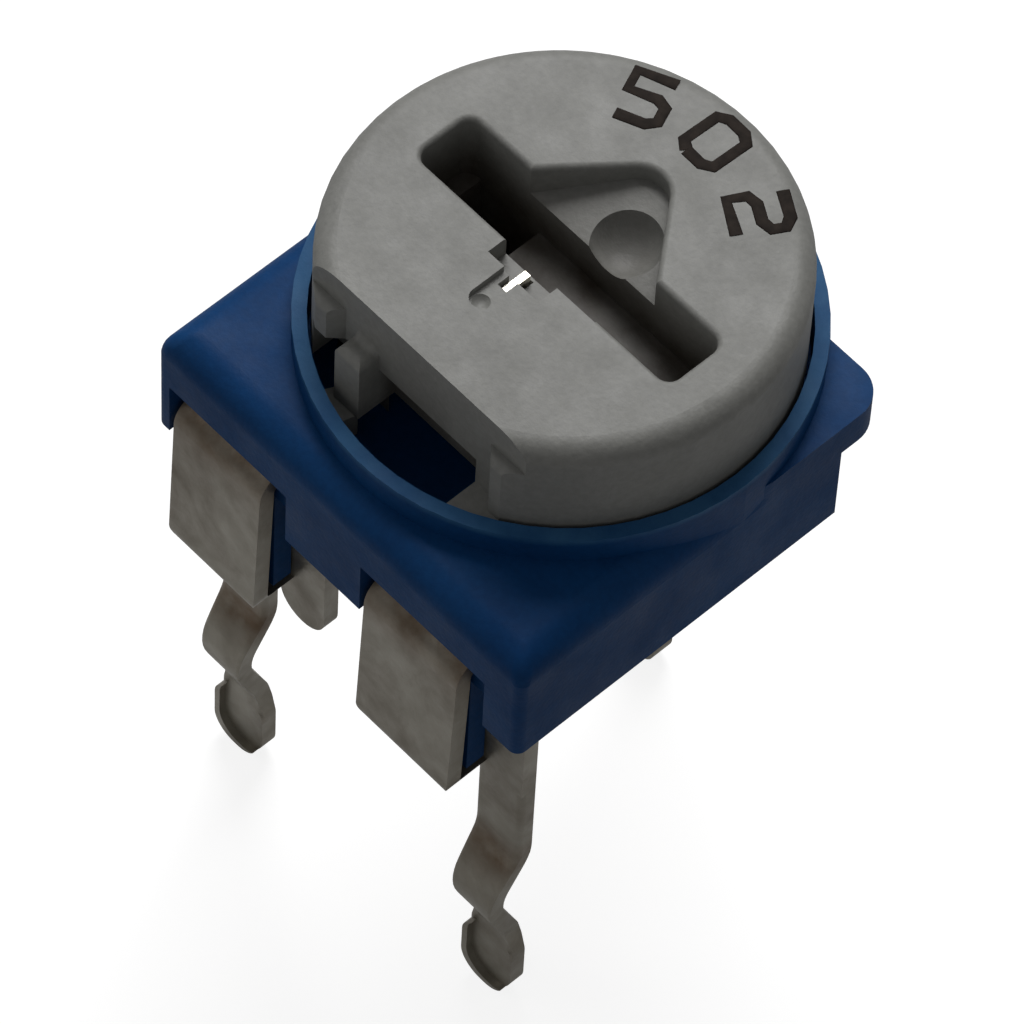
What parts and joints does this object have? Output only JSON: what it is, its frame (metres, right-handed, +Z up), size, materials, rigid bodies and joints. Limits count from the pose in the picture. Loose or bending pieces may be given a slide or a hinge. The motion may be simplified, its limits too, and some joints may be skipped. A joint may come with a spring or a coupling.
{
  "type": "rotary potentiometer",
  "caption": "Single-turn carbon trimmer potentiometer: blue square-fronted housing with a round collar, pale slotted rotor and folded tin-plated pins with snap-in kinks.",
  "frame": {"origin": "on the rotor's axis, in the plane of the circuit board that the terminals' shoulders stand on", "axes": "+Z up along the rotor's axis, out of the screwdriver slot; +X along the end pins' row, to the right seen from the front; -Y towards the two end pins"},
  "size_m": [0.0068, 0.0073, 0.0115],
  "materials": {
    "housing_blue": "satin moulded",
    "rotor_pale": "matt moulded",
    "board_brown": "matt laminate",
    "track_carbon": "matt print",
    "pad_silver": "printed silver",
    "tin_plate": "tin plated",
    "wiper_bronze": "bright spring bronze"
  },
  "bodies": {
    "base": {"housing": "housing_blue", "base_board": "board_brown", "resistive_track": "track_carbon", "left_end_pad": "pad_silver", "right_end_pad": "pad_silver", "centre_eyelet": "tin_plate", "left_rivet": "tin_plate", "right_rivet": "tin_plate", "left_terminal": "tin_plate", "right_terminal": "tin_plate", "wiper_terminal": "tin_plate"},
    "turning": {"rotor": "rotor_pale", "wiper_spring": "wiper_bronze"}
  },
  "joints": [
    {"name": "rotor_turn", "type": "hinge", "parent": "base", "child": "turning", "pos_m": [0, 0, 0], "axis": [0, 0, 1], "range_deg": [-105, 105]}
  ]
}
